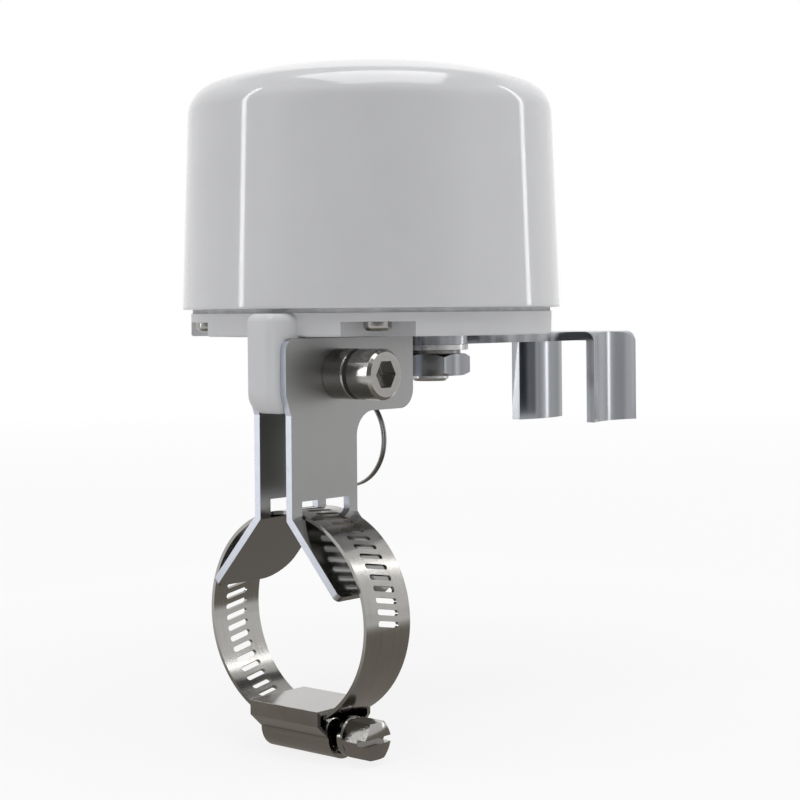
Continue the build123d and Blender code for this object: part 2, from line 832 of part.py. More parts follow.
def gear_plate():
    """The round steel plate over the gears, on the base's four posts."""
    plate = disc(plate_radius, plate_level, plate_top)
    holes = [(stud_radius, on_circle(post_circle, post_angles))]
    holes.append((upper_journal_radius + running_gap + rod_bush_wall, [(shaft_x, shaft_y)]))
    holes.append((rod_radius + running_gap + rod_bush_wall, [(rod_x, rod_y)]))
    holes.append((gearbox_nose_radius, [(pinion_x, pinion_y)]))
    holes.append((gearbox_screw_radius, gearbox_screw_places()))
    for radius, places in holes:
        for x, y in places:
            plate -= disc(radius, plate_level - overrun, plate_top + overrun, x, y)
    for turn in (0, -90):
        for side in (-1, 1):
            reach = -(cam_lobe_radius + switch_gap + switch_lever_stand + switch_lever_thickness)
            reach -= switch_width / 2
            hole = disc(switch_screw_radius, plate_level - overrun, plate_top + overrun, reach,
                        side * switch_length / 4)
            plate -= Pos(shaft_x, shaft_y, 0) * Rot(0, 0, turn) * hole
    return plate


def gearbox_screw_places():
    """Two screws, one on each side of the gearbox."""
    places = []
    for angle in (motor_angle - 90, motor_angle + 90):
        x = motor_x + gearbox_screw_circle * cos(radians(angle))
        y = motor_y + gearbox_screw_circle * sin(radians(angle))
        places.append((x, y))
    return places


def gearbox():
    """The motor's round gearbox, on the plate, with its off-centre nose in the plate's hole."""
    case = disc(gearbox_radius, plate_top, gearbox_top, motor_x, motor_y)
    case = chamfer(case.edges(), edge_break)
    case += disc(gearbox_nose_radius, plate_level, plate_top, pinion_x, pinion_y)
    bore_top = plate_top + gearbox_bore_depth
    case -= disc(pinion_shaft_radius + running_gap, plate_level - overrun, bore_top, pinion_x, pinion_y)
    for x, y in gearbox_screw_places():
        case -= disc(gearbox_screw_radius, plate_level, plate_top + gearbox_screw_depth, x, y)
    return case


def gearbox_screws():
    """Two screws up through the plate into the gearbox."""
    screws = []
    for x, y in gearbox_screw_places():
        shank = disc(gearbox_screw_radius, plate_level, plate_top + gearbox_screw_depth, x, y)
        head = disc(gearbox_screw_head, plate_level - gearbox_screw_radius, plate_level, x, y)
        screws.append(shank + head)
    return Compound(screws)


def motor():
    """The motor can with its rear bearing cap and two terminals."""
    can = disc(motor_radius, gearbox_top, motor_top, motor_x, motor_y)
    can = fillet(can.edges().group_by(Axis.Z)[-1], edge_break * 4)
    can += disc(motor_cap_radius, motor_top, motor_top + motor_cap_height, motor_x, motor_y)
    for side in (-1, 1):
        x = motor_x + side * (motor_cap_radius + motor_cap_height)
        can += block(x - edge_break, x + edge_break, motor_y - motor_cap_height, motor_y + motor_cap_height,
                     motor_top, motor_top + terminal_length)
    return can


def pinion_shaft():
    """The gearbox's output shaft, down through the plate."""
    top = plate_top + gearbox_bore_depth - sliding_gap
    return disc(pinion_shaft_radius, pinion_low - edge_break, top, pinion_x, pinion_y)


def motor_pinion():
    """The long pinion, which stays in mesh with the middle gear when that is pulled down."""
    return gear(pinion_teeth, pinion_low, pinion_high, pinion_shaft_radius, pinion_turn, pinion_x, pinion_y)


def standoffs():
    """Four hexagonal standoffs that hold the plate down and the board up."""
    pieces = []
    for x, y in on_circle(post_circle, post_angles):
        body = hexagon(standoff_flats, plate_top, board_level, x, y)
        body += disc(stud_radius, plate_level - stud_length + edge_break, plate_top, x, y)
        pieces.append(body - disc(stud_radius, board_level - stud_length, board_level + overrun, x, y))
    return Compound(pieces)


def board_outline(radius, low, high):
    """The board's round shape, bitten away round the motor and the rod."""
    board = disc(radius, low, high)
    board -= disc(gearbox_radius + board_bite, low - overrun, high + overrun, motor_x, motor_y)
    return board - disc(rod_flange_radius + 2 * board_bite, low - overrun, high + overrun, rod_x, rod_y)


def circuit_board():
    """The round control board."""
    board = board_outline(board_radius, board_level, board_top)
    for x, y in on_circle(post_circle, post_angles):
        board -= disc(stud_radius, board_level - overrun, board_top + overrun, x, y)
    return board


def board_screws():
    """Four screws through the board into the standoffs."""
    screws = []
    for x, y in on_circle(post_circle, post_angles):
        shank = disc(stud_radius, board_level - stud_length + edge_break, board_top, x, y)
        head = disc(board_screw_head, board_top, board_top + board_screw_height, x, y)
        screws.append(shank + fillet(head.edges().group_by(Axis.Z)[-1], edge_break))
    return Compound(screws)


def radio_module():
    """The radio module: a small board with a metal shield and a bare aerial end."""
    x0 = shaft_x - module_width
    x1 = shaft_x
    y0 = -board_radius + module_length / 3
    y1 = y0 + module_length
    card = block(x0, x1, y0, y1, board_top, board_top + module_thickness)
    high = board_top + module_thickness + shield_height
    shield = block(x0 + shield_margin, x0 + shield_margin + shield_length, y0 + shield_margin,
                   y1 - shield_margin, board_top + module_thickness, high)
    shield = chamfer(shield.edges().group_by(Axis.Z)[-1], edge_break)
    return card + shield


def board_parts():
    """The board's larger parts: capacitors, relay, driver, header, sounder, lamp and key."""
    parts = []
    cap_x = shaft_x + capacitor_radius + module_thickness
    for row in (0, 1):
        y = -board_radius + 3 * capacitor_radius + row * (2 * capacitor_radius + module_thickness)
        can = disc(capacitor_radius, board_top, board_top + capacitor_height, cap_x, y)
        parts.append(fillet(can.edges().group_by(Axis.Z)[-1], edge_break))
    spots = [(relay_size, -board_radius / 3, 0), (driver_size, board_radius * 2 / 3, -board_radius / 3)]
    spots.append((header_size, -board_radius * 3 / 4, -board_radius / 7))
    for size, x, y in spots:
        part = Pos(x, y, board_top + size[2] / 2) * Box(*size)
        parts.append(chamfer(part.edges().group_by(Axis.Z)[-1], edge_break))
    sounder_x = board_radius * 3 / 5
    parts.append(collar(sounder_radius, sounder_radius / 4, board_top, board_top + sounder_height, sounder_x))
    lamp_out = lens_inner - sliding_gap
    lamp = block(lamp_out - led_size, lamp_out, -led_size / 2, led_size / 2, board_top, board_top + led_size)
    parts.append(Rot(0, 0, lens_angle) * lamp)
    key_out = button_inner - button_travel - sliding_gap
    key_face = key_out - led_size / 2
    key = block(key_face - led_size, key_face, -key_size / 2, key_size / 2, board_top, board_top + key_size)
    plunger = Pos(0, 0, button_level) * rod_x_axis(key_plunger_radius, key_face, key_out)
    parts.append(Rot(0, 0, button_angle) * (key + plunger))
    return Compound(parts)


def status_lens():
    """The round light guide through the dome's far side."""
    lens = rod_x_axis(lens_radius, lens_inner, dome_out(lens_level))
    return radial(lens_angle, lens_level) * chamfer(lens.edges().group_by(Axis.X)[-1], edge_break)


def pair_button():
    """The round pairing button, held in by its inner flange."""
    cap = rod_x_axis(button_radius, button_inner, dome_out(button_level) + button_proud)
    cap = chamfer(cap.edges().group_by(Axis.X)[-1], edge_break)
    cap += rod_x_axis(button_flange_radius, button_inner, button_inner + button_flange)
    return radial(button_angle, button_level) * cap


def power_inlet():
    """The round low-voltage power inlet, whose mouth opens downwards."""
    x, y = on_circle(inlet_circle, [inlet_angle])[0]
    barrel = disc(inlet_radius, base_bottom, base_bottom + inlet_height, x, y)
    barrel -= disc(inlet_bore, base_bottom - overrun, base_bottom + inlet_bore_depth, x, y)
    return barrel + disc(inlet_pin, base_bottom + inlet_pin_recess, base_bottom + inlet_bore_depth, x, y)


def inlet_nut():
    """The nut that holds the power inlet in the floor."""
    x, y = on_circle(inlet_circle, [inlet_angle])[0]
    nut = hex_nut(inlet_nut_flats, floor_top, floor_top + inlet_nut_thickness, x, y)
    return nut - disc(inlet_radius, floor_top - overrun, floor_top + 2 * overrun + inlet_nut_thickness, x, y)


# Bracket

def bracket_face():
    """The outline of a plate above its bend, in the XZ plane."""
    points = [
        (bracket_start, bracket_top), (bracket_start, bracket_bottom + bracket_corner),
        (leg_start, bracket_bottom), (leg_start, bend_height), (leg_end, bend_height),
        (leg_end, bracket_bottom), (bracket_end, bracket_bottom), (bracket_end, bracket_top),
    ]
    radii = [bracket_top_corner, bracket_corner / 2, edge_break, 0, 0, leg_fillet, bracket_corner, edge_break]
    return make_face(Plane.XZ * FilletPolyline(*points, radius=radii, close=True))


def bracket_plate():
    """The rear plate: a flat upper part, a slotted leg and a foot splayed under the pipe."""
    plate = Pos(0, plate_back, 0) * extrude(bracket_face(), sheet)
    foot_points = [(leg_start, 0), (leg_start, -foot_length), (leg_end, -foot_length), (leg_end, 0)]
    foot_radii = [0, foot_small_corner, foot_corner, 0]
    foot_face = make_face(Plane.XZ * FilletPolyline(*foot_points, radius=foot_radii, close=True))
    foot = Pos(0, sheet / 2, 0) * extrude(foot_face, sheet)
    middle = plate_face + sheet / 2
    hinge_height = bend_height + sheet / 2 * tan(radians(foot_angle / 2))
    foot = Pos(0, middle, hinge_height) * Rot(foot_angle, 0, 0) * foot
    knuckle = Pos((leg_start + leg_end) / 2, middle, hinge_height) * Rot(0, 90, 0)
    plate += knuckle * Cylinder(sheet / 2, leg_end - leg_start)
    plate += foot
    leg_patch = block(leg_start, leg_end, plate_face, plate_back, hinge_height, bend_height + sheet)
    plate += leg_patch
    plate -= bar_y(bolt_radius + sliding_gap, 0, 2 * plate_back, bolt_row_x, bolt_height)
    half = band_slot_width / 2
    slot_low = bend_height + sliding_gap
    return plate - block(-half, half, 0, 2 * plate_back, slot_low, slot_low + band_slot_height)


def bracket_front():
    """The mirrored plate on the near side."""
    return mirror(bracket_plate(), Plane.XZ)


def bolt_faces():
    """Where each piece on the bolt ends, outwards from the front plate."""
    sleeve_end = -plate_back - bolt_sleeve_length
    ring_end = sleeve_end - bolt_ring_length
    return sleeve_end, ring_end, ring_end - bolt_head_length


def bolt_sleeve():
    """The polished spacer between the front plate and the bolt's head."""
    sleeve_end, _, _ = bolt_faces()
    sleeve = bar_y(bolt_sleeve_radius, sleeve_end, -plate_back, bolt_row_x, bolt_height)
    sleeve = chamfer(sleeve.edges().group_by(Axis.Y)[0], edge_break)
    return sleeve - bar_y(bolt_radius, sleeve_end - overrun, overrun, bolt_row_x, bolt_height)


def bolt_ring():
    """The thin black ring between the spacer and the bolt's head."""
    sleeve_end, ring_end, _ = bolt_faces()
    ring = bar_y(bolt_sleeve_radius - bolt_ring_inset, ring_end, sleeve_end, bolt_row_x, bolt_height)
    return ring - bar_y(bolt_radius, ring_end - overrun, overrun, bolt_row_x, bolt_height)


def bracket_bolt():
    """The socket-head bolt through both plates and the lug's slot."""
    _, ring_end, head_end = bolt_faces()
    head = bar_y(bolt_sleeve_radius, head_end, ring_end, bolt_row_x, bolt_height)
    head = chamfer(head.edges().group_by(Axis.Y)[0], 2 * edge_break)
    socket = hexagon(bolt_socket_flats, -bolt_socket_depth, overrun)
    head -= Pos(bolt_row_x, head_end, bolt_height) * Rot(90, 0, 0) * socket
    tip = plate_back + bolt_washer_thickness + bolt_nut_height + bolt_end_stand
    shank = bar_y(bolt_radius, ring_end, tip, bolt_row_x, bolt_height)
    return head + chamfer(shank.edges().group_by(Axis.Y)[-1], 2 * edge_break)


def bolt_washer():
    """The washer under the bracket's nut."""
    end = plate_back + bolt_washer_thickness
    washer = bar_y(bolt_washer_radius, plate_back, end, bolt_row_x, bolt_height)
    return washer - bar_y(bolt_radius, 0, end + overrun, bolt_row_x, bolt_height)


def bolt_nut():
    """The nut on the bolt's far end."""
    start = plate_back + bolt_washer_thickness
    nut = hex_nut(bolt_nut_flats, -bolt_nut_height, 0)
    nut = Pos(bolt_row_x, start, bolt_height) * Rot(90, 0, 0) * nut
    return nut - bar_y(bolt_radius, 0, start + bolt_nut_height + overrun, bolt_row_x, bolt_height)


# Hose clamp

def band_outline(radius, flat_level, width):
    """A drum along X, cut flat below."""
    drum = Rot(0, 90, 0) * Cylinder(radius, width)
    keep = block(-width, width, -2 * radius, 2 * radius, flat_level, 2 * radius)
    return drum & keep


def band_slot(slant, through):
    """One slanted slot with round ends, lying on top of the band."""
    face = SlotOverall(band_slot_length, band_slot_opening)
    return Rot(0, 0, slant) * extrude(face, through, both=True)


def clamp_band():
    """The slotted steel band, flat where it runs through the screw's housing."""
    inner = band_radius - band_thickness
    band = band_outline(band_radius, band_flat_level, band_width)
    band -= band_outline(inner, band_flat_level + band_thickness, 2 * band_width)
    pitch_angle = degrees(band_slot_pitch / band_radius)
    count = int((band_slots_to - band_slots_from) / pitch_angle)
    cutter = Pos(0, 0, band_radius) * band_slot(-band_slot_slant, 2 * band_thickness)
    cuts = [Rot(band_slots_from + step * pitch_angle, 0, 0) * cutter for step in range(count + 1)]
    reach = int(band_flat / 2 / band_slot_pitch)
    low_cutter = Pos(0, 0, band_flat_level) * band_slot(band_slot_slant, 2 * band_thickness)
    cuts += [Pos(0, step * band_slot_pitch, 0) * low_cutter for step in range(-reach + 1, reach)]
    return band.cut(*cuts)


def housing_section(inset):
    """The housing's cross-section: flat over the band, narrowing to a trough round the screw."""
    half = band_width / 2 + housing_gap + housing_wall - inset
    top = band_flat_level + band_thickness + housing_gap + housing_wall - inset
    shelf = band_flat_level - housing_wall
    trough = worm_radius + sliding_gap + housing_wall - inset
    upper = Polyline((trough, worm_axis), (half, shelf), (half, top), (-half, top), (-half, shelf),
                     (-trough, worm_axis))
    arc = ThreePointArc((-trough, worm_axis), (0, worm_axis - trough), (trough, worm_axis))
    return make_face(Plane.XZ * (upper + arc))


def worm_housing():
    """The pressed housing that wraps the band and carries the screw."""
    length = housing_back - housing_front
    shell = Pos(0, housing_back, 0) * extrude(housing_section(0), length)
    hollow = Pos(0, housing_back + overrun, 0) * extrude(housing_section(housing_wall), length + 2 * overrun)
    shell -= hollow
    back_wall = Pos(0, housing_back, 0) * extrude(housing_section(housing_wall), housing_wall)
    limit = block(-band_width, band_width, housing_front, housing_back, worm_axis - 2 * worm_radius,
                  band_flat_level - sliding_gap)
    shell += back_wall & limit
    journal = worm_core_radius + running_gap
    shell -= bar_y(journal, housing_back - 2 * housing_wall, housing_back + overrun, 0, worm_axis)
    slant = Pos(0, housing_front, band_flat_level + 2 * overrun) * Rot(-housing_cut_angle, 0, 0)
    reach = 2 * band_width
    knife = slant * Box(reach, reach, reach, align=(Align.CENTER, Align.MAX, Align.CENTER))
    return shell - knife


def worm_screw():
    """The clamp's screw: worm thread, neck, collar and a slotted hexagon head."""
    thread_start = housing_back - 2 * housing_wall
    thread_end = housing_front + housing_wall
    core = bar_y(worm_core_radius, thread_end - housing_wall, housing_back, 0, worm_axis)
    length = thread_start - thread_end - band_slot_pitch
    helix = Helix(band_slot_pitch, length, worm_core_radius, direction=(0, 0, 1))
    depth = worm_radius - worm_core_radius
    root = band_slot_pitch / 2
    crest = band_slot_pitch / 5
    profile_points = [(-depth / 3, -root / 2), (depth, -crest / 2), (depth, crest / 2),
                      (-depth / 3, root / 2)]
    start_plane = Plane(origin=helix @ 0, x_dir=(1, 0, 0), z_dir=(0, 1, 0))
    profile = start_plane * make_face(Polyline(*[(x, -y) for x, y in profile_points], close=True))
    thread = sweep(profile, helix, is_frenet=True)
    thread = Pos(0, thread_start - band_slot_pitch / 2, worm_axis) * Rot(90, 0, 0) * thread
    neck_end = thread_end - housing_wall - worm_neck_length
    neck = bar_y(worm_neck_radius, neck_end, thread_end, 0, worm_axis)
    collar_end = neck_end - worm_collar_length
    flange = bar_y(worm_collar_radius, collar_end, neck_end, 0, worm_axis)
    flange = chamfer(flange.edges(), edge_break)
    head_length = collar_end - worm_head_end
    head = Pos(0, collar_end, worm_axis) * Rot(90, 0, 0) * hex_nut(worm_flats, 0, head_length)
    slot = block(-band_width, band_width, worm_head_end - overrun, worm_head_end + worm_slot_depth,
                 worm_axis - worm_slot_width / 2, worm_axis + worm_slot_width / 2)
    return core + thread + neck + flange + (head - slot)


# Everything, each piece in its own file

head_pieces = [
    dome_cover, base_housing, rim_gasket, cover_screws, shaft_bush, shaft_seal, output_shaft, output_gear,
    gear_clip, upper_bush, position_cam, limit_switches, switch_screws, lever_arm, arm_washer, lock_washer,
    arm_nut, clutch_gear, clutch_rod, rod_bushes, clutch_spring, spring_washer, rod_clips, pull_ring,
    gear_plate, gearbox, gearbox_screws, motor, pinion_shaft, motor_pinion, standoffs, circuit_board,
    board_screws, radio_module, board_parts, status_lens, pair_button, power_inlet, inlet_nut,
]
clamp_pieces = [
    bracket_front, bolt_sleeve, bolt_ring, bracket_bolt, bolt_washer, bolt_nut, clamp_band, worm_housing,
    worm_screw,
]


def main():
    os.makedirs("parts", exist_ok=True)
    head_place = Pos(dome_offset_x, dome_offset_y, rim_height)
    for piece in head_pieces:
        export_step(head_place * piece(), f"parts/{piece.__name__}.step")
    export_step(bracket_plate(), "parts/bracket_rear.step")
    for piece in clamp_pieces:
        export_step(piece(), f"parts/{piece.__name__}.step")


main()
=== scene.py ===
# %% [markdown]
# A clamp-on water valve actuator, dressed for the camera
#
# A white domed motor head stands on a steel bracket, and a hose clamp holds the bracket on a pipe. The
# head turns a steel arm whose fork moves the valve's lever. The construction is already made, and
# arrives as a frame of separate nodes. This file gives every surface its finish, and models again the
# shapes that the frame only holds plainly.

# %% Load the frame
import json
from math import asin, cos, pi, radians, sin

import bmesh
import bpy
import numpy as np
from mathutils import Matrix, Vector


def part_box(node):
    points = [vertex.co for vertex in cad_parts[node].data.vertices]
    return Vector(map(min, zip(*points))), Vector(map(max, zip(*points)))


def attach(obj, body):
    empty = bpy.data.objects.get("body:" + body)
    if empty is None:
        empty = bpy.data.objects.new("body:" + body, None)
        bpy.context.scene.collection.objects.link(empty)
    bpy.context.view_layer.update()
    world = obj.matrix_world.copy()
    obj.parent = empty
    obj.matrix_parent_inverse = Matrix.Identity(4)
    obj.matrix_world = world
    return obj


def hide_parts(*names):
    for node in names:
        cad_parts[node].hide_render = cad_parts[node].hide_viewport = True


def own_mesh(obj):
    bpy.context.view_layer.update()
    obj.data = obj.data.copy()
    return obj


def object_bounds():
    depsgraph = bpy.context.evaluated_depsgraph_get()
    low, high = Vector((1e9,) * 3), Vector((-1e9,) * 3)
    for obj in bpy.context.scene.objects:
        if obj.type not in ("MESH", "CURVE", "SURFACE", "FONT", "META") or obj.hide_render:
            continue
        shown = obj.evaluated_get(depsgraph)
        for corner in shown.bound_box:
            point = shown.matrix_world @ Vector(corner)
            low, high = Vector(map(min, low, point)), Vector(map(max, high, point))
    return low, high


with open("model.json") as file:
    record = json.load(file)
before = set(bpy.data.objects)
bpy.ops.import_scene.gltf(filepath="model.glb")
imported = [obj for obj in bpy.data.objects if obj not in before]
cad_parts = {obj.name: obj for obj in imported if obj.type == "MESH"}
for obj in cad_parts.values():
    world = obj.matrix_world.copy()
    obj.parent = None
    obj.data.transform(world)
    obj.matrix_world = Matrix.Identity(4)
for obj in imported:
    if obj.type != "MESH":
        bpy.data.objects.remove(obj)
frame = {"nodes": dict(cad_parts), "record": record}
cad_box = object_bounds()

MM = 0.001
FULL_TURN = 2 * pi
MERGE_REACH = 1e-7
record = frame["record"]
body_of = {n: body for body, members in record["behaviour"]["bodies"].items() for n in members}
slot_of = {part["node"]: part["material_slot"] for part in record["subparts"]}
print("nodes", len(body_of), "material slots", len(set(slot_of.values())))

# %% [markdown]
# Step 1: finishes
#
# Each material slot of the record gets one procedural material, so that every surface has the grain
# that its process leaves: moulding, rolling, turning, plating. All patterns read Object coordinates.
# Every object sits at the origin with its place in its mesh, so these are the model's own coordinates,
# and the grain keeps its real scale. A number that is the same all over a surface is set on the
# shader's own socket. Each finish enters itself in a register under its slot's name, which is how the
# pieces find it.

# %% A small helper for node trees
finishes = {}
# Noise seldom leaves this range.
NOISE_LOW, NOISE_HIGH = 0.3, 0.7


class Finish:
    """A material with one Principled shader, and shorthands for the nodes that feed it."""

    def __init__(self, name, colour, metallic=0.0, roughness=0.5):
        self.material = bpy.data.materials.new(name)
        self.material.use_nodes = True
        self.tree = self.material.node_tree
        self.shader = self.tree.nodes["Principled BSDF"]
        self.shader.inputs["Base Color"].default_value = (*colour, 1)
        self.shader.inputs["Metallic"].default_value = metallic
        self.shader.inputs["Roughness"].default_value = roughness
        self.colour = colour
        self.material.diffuse_color = (*colour, 1)
        finishes[name] = self

    def node(self, kind, **inputs):
        """A new node with its sockets set from the keywords; an underscore in a keyword is a space."""
        made = self.tree.nodes.new(kind)
        for key, value in inputs.items():
            socket = made.inputs[key.replace("_", " ")]
            if isinstance(value, bpy.types.NodeSocket):
                self.tree.links.new(value, socket)
            else:
                socket.default_value = value
        return made

    def place(self, stretch=(1, 1, 1)):
        """Object coordinates, stretched for a pattern with a direction."""
        coordinates = self.node("ShaderNodeTexCoord").outputs["Object"]
        mapping = self.node("ShaderNodeMapping", Vector=coordinates)
        mapping.inputs["Scale"].default_value = stretch
        return mapping.outputs["Vector"]

    def noise(self, where, size, detail=3.0):
        """Noise whose features are about this size, in metres."""
        made = self.node("ShaderNodeTexNoise", Vector=where, Scale=1 / size, Detail=detail)
        return made.outputs["Fac"]

    def spread(self, factor, low, high, start=NOISE_LOW, end=NOISE_HIGH):
        """The factor between start and end, mapped to the values from low to high."""
        made = self.node("ShaderNodeMapRange", Value=factor, From_Min=start, From_Max=end,
                         To_Min=low, To_Max=high)
        return made.outputs["Result"]

    def tint(self, factor, low, high):
        """A colour between low and high times the finish's own colour."""
        ramp = self.node("ShaderNodeValToRGB", Fac=factor)
        places = (NOISE_LOW, NOISE_HIGH)
        for stop, share, at in zip(ramp.color_ramp.elements, (low, high), places):
            stop.position = at
            stop.color = (*[min(1.0, c * share) for c in self.colour], 1)
        self.feed("Base Color", ramp.outputs["Color"])
        return self

    def feed(self, socket, output):
        """Joins an output to one of the shader's sockets."""
        self.tree.links.new(output, self.shader.inputs[socket])
        return self

    def bumps(self, height, depth):
        """Bump from a height between 0 and 1, with the real depth in metres."""
        made = self.node("ShaderNodeBump", Height=height, Distance=depth, Strength=1.0)
        return self.feed("Normal", made.outputs["Normal"])

    def preset(self, **values):
        """Sets uniform numbers and colours on the shader's own sockets."""
        for key, value in values.items():
            self.shader.inputs[key.replace("_", " ")].default_value = value
        return self


# %% [markdown]
# The cover and the base are the same white plastic from two moulds. The cover's mould was polished, so
# the cover mirrors the studio, and only a faint waviness a few millimetres wide breaks up its
# reflections. The base's mould was spark eroded, which leaves a fine even grain.

# %% Moulded plastics
PLASTIC_IOR = 1.49


def moulded(name, colour, gloss, grain, depth, coat=0.0):
    """Plastic from a mould: a slow drift in its colour, and a grain of that size and depth."""
    made = Finish(name, colour, roughness=gloss)
    made.preset(Coat_Weight=coat, Coat_Roughness=0.04, IOR=PLASTIC_IOR)
    drift = made.noise(made.place(), 14 * MM, 2.0)
    made.tint(drift, 0.985, 1.015)
    skin = made.noise(made.place(), grain, 2.0)
    made.feed("Roughness", made.spread(skin, gloss * 0.85, gloss * 1.2))
    return made.bumps(skin, depth)


moulded("white_gloss", (0.66, 0.66, 0.67), 0.10, 3.2 * MM, 0.003 * MM, coat=0.5)
moulded("white_satin", (0.66, 0.66, 0.67), 0.38, 0.28 * MM, 0.010 * MM)
moulded("black_plastic", (0.028, 0.028, 0.030), 0.42, 0.22 * MM, 0.012 * MM)
moulded("button_grey", (0.42, 0.43, 0.45), 0.34, 0.25 * MM, 0.010 * MM)
moulded("gear_plastic", (0.80, 0.78, 0.70), 0.45, 0.5 * MM, 0.010 * MM)


# %% [markdown]
# The metals differ in how they were finished. Rolled sheet has fine straight lines along the rolling
# direction, the hose clamp was polished after it was rolled, so its lines are faint, and turned pieces
# have none that the eye can see at this size. Lines come from noise that is stretched up to a
# hundredfold along one axis. The arm's fork carries painted reflections: broad upright streaks of
# light and dark painted into its colour.

# %% Metals
def metal(name, colour, gloss, stretch, depth, contrast=0.06, blotch=9 * MM):
    """Metal with grain lines: stretch says how much finer the noise is along each axis."""
    made = Finish(name, colour, metallic=1.0, roughness=gloss)
    lines = made.noise(made.place(stretch), 6 * MM, 4.0)
    stains = made.noise(made.place(), blotch, 3.0)
    both = made.node("ShaderNodeMix", Factor=0.4, A=lines, B=stains).outputs["Result"]
    made.tint(both, 1 - contrast, 1 + contrast)
    made.feed("Roughness", made.spread(lines, gloss * 0.75, gloss * 1.3))
    return made.bumps(lines, depth)


ALONG_Z = (40.0, 40.0, 0.6)
ROUND_PIPE = (60.0, 0.8, 0.8)
ALONG_X = (0.6, 40.0, 40.0)
EVEN = (12.0, 12.0, 12.0)
UPRIGHT = (2.0, 2.0, 0.02)
plate_steel = metal("plate_steel", (0.300, 0.300, 0.298), 0.20, ALONG_Z, 0.001 * MM, 0.03)
# The die that bent the feet left them polished, and the flat upper part kept the sheet's satin face.
POLISHED, SATIN = 0.12, 0.42
POLISH_TOP, SATIN_START = 17 * MM, 24 * MM
height = plate_steel.node("ShaderNodeSeparateXYZ", Vector=plate_steel.place()).outputs["Z"]
plate_steel.feed("Roughness", plate_steel.spread(height, POLISHED, SATIN, POLISH_TOP, SATIN_START))
cut_edge = metal("cut_edge", (0.62, 0.65, 0.72), 0.36, EVEN, 0.006 * MM, 0.07, 2 * MM)
metal("band_steel", (0.37, 0.36, 0.345), 0.14, ROUND_PIPE, 0.003 * MM, 0.12)
metal("screw_steel", (0.36, 0.35, 0.335), 0.12, EVEN, 0.002 * MM, 0.08)
arm_steel = Finish("arm_steel", (0.33, 0.34, 0.36), metallic=1.0, roughness=0.16)
# Painted reflections: upright streaks of light and dark tinted into the fork's colour. The same pattern
# also sets its roughness and bumps.
painted_reflection_streaks = arm_steel.noise(arm_steel.place(UPRIGHT), 6 * MM, 1.0)
arm_steel.tint(painted_reflection_streaks, 0.70, 1.20).bumps(painted_reflection_streaks, 0.004 * MM)
arm_steel.feed("Roughness", arm_steel.spread(painted_reflection_streaks, 0.12, 0.20))
metal("shaft_steel", (0.50, 0.50, 0.50), 0.22, EVEN, 0.002 * MM, 0.05)
metal("spring_steel", (0.20, 0.195, 0.19), 0.24, EVEN, 0.003 * MM, 0.08, 3 * MM)
metal("inner_steel", (0.58, 0.58, 0.56), 0.34, EVEN, 0.004 * MM, 0.08)
metal("gear_steel", (0.42, 0.42, 0.41), 0.40, EVEN, 0.008 * MM, 0.08, 2 * MM)
metal("shield_metal", (0.66, 0.67, 0.68), 0.22, ALONG_X, 0.003 * MM, 0.05)
metal("brass", (0.72, 0.55, 0.27), 0.26, EVEN, 0.003 * MM, 0.08)


# %% [markdown]
# What is left is soft or clear: two rubbers, the board's green mask with its weave just showing, and
# the light guide, which is clear plastic with a frosted body so that it glows evenly.

# %% Rubbers, board and light guide
def rubber(name, colour):
    """Moulded rubber: dull, with a fine grain and a bloom that lightens it in patches."""
    made = Finish(name, colour, roughness=0.72)
    made.tint(made.noise(made.place(), 4 * MM), 0.85, 1.2)
    return made.bumps(made.noise(made.place(), 0.15 * MM, 2.0), 0.015 * MM)


rubber("black_rubber", (0.015, 0.015, 0.015))
rubber("grey_rubber", (0.60, 0.60, 0.605))
board_green = Finish("board_green", (0.02, 0.16, 0.07), roughness=0.28)
WEAVE_PITCH = 1.2 * MM
weave = board_green.node("ShaderNodeTexWave", Vector=board_green.place(), Scale=1 / WEAVE_PITCH,
                         Distortion=0.4)
board_green.tint(weave.outputs["Fac"], 0.9, 1.1).bumps(weave.outputs["Fac"], 0.004 * MM)
clear_lens = Finish("clear_lens", (0.86, 0.90, 0.93), roughness=0.22)
clear_lens.preset(Transmission_Weight=0.55, IOR=PLASTIC_IOR, Coat_Weight=0.5, Coat_Roughness=0.05)
frost = clear_lens.noise(clear_lens.place(), 0.4 * MM)
clear_lens.feed("Roughness", clear_lens.spread(frost, 0.18, 0.30)).bumps(frost, 0.01 * MM)
missing = sorted(set(slot_of.values()) - set(finishes))
print("finishes", len(finishes), "slots without one", missing)


# %% [markdown]
# Step 2: carry over what is right
#
# Most pieces already have their true shape. The hidden ones keep their nodes and only change material.
# For the ones that show, a copy of the node's mesh is merged, smoothed up to a limit angle and given a
# small bevel, because no real edge is perfectly sharp, and the bevel is what catches the light along
# it.

# %% Dress a node
def show(mesh, name, body, slot, *nodes):
    """A new piece from a mesh: it rides on a body, takes a slot's finish and stands for some nodes."""
    piece = bpy.data.objects.new(name, mesh)
    bpy.context.scene.collection.objects.link(piece)
    mesh.materials.clear()
    mesh.materials.append(finishes[slot].material)
    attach(piece, body)
    if nodes:
        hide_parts(*nodes)
    return piece


BEVEL_SEGMENTS = 2


def soften(piece, width, smooth=40):
    """Rounds a piece's sharp edges by that width, and shades it smooth below the limit angle."""
    piece.data.shade_smooth()
    piece.data.set_sharp_from_angle(angle=radians(smooth))
    if width:
        bevel = piece.modifiers.new("edges", "BEVEL")
        bevel.width = width
        bevel.segments = BEVEL_SEGMENTS
        bevel.limit_method = "ANGLE"
        bevel.angle_limit = radians(smooth)
        bevel.harden_normals = True
        bevel.use_clamp_overlap = True
    return piece


SKIN_MERGE = 0.002 * MM
FLAT_ANGLE = radians(0.2)


